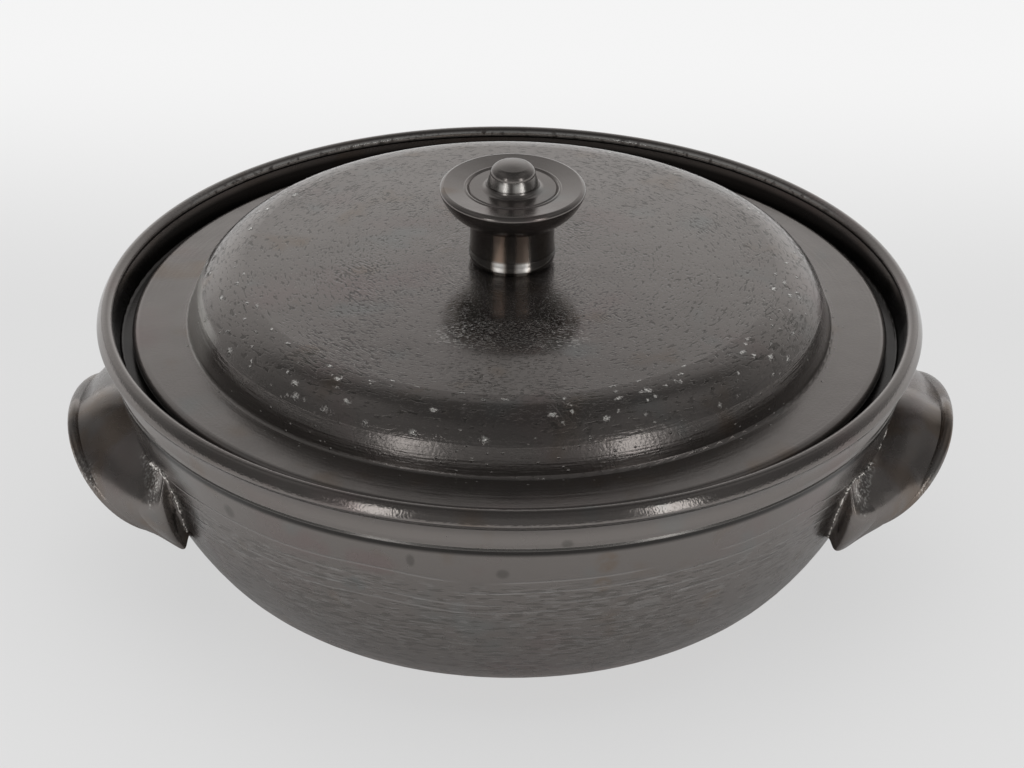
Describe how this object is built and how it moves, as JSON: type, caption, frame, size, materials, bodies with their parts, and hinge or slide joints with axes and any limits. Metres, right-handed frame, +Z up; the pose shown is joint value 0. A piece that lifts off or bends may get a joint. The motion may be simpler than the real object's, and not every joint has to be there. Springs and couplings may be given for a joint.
{
  "type": "covered vegetable dish",
  "caption": "Low round thrown dish with rolled rim, foot ring, hooded side handles and a lift-off domed lid with a disc knob.",
  "frame": {"origin": "middle of the foot ring, on the plane that it stands on", "axes": "+Z up, the way the lid lifts; X through both handles; -Y is the side that faces the viewer"},
  "size_m": [0.3026, 0.28, 0.1554],
  "materials": {
    "bowl_glaze": "satin black metallic glaze with brown and teal clouds",
    "lid_glaze": "satin black glaze with small tangential pits",
    "knob_glaze": "glossy black glaze",
    "handle_glaze": "glossy black glaze"
  },
  "bodies": {
    "dish": {"bowl": "bowl_glaze", "handle_left": "handle_glaze", "handle_right": "handle_glaze"},
    "cover": {"lid": "lid_glaze", "knob": "knob_glaze"}
  },
  "joints": [
    {"name": "lid_lift", "type": "slide", "parent": "dish", "child": "cover", "axis": [0, 0, 1], "range_m": [0, 0.12]}
  ]
}
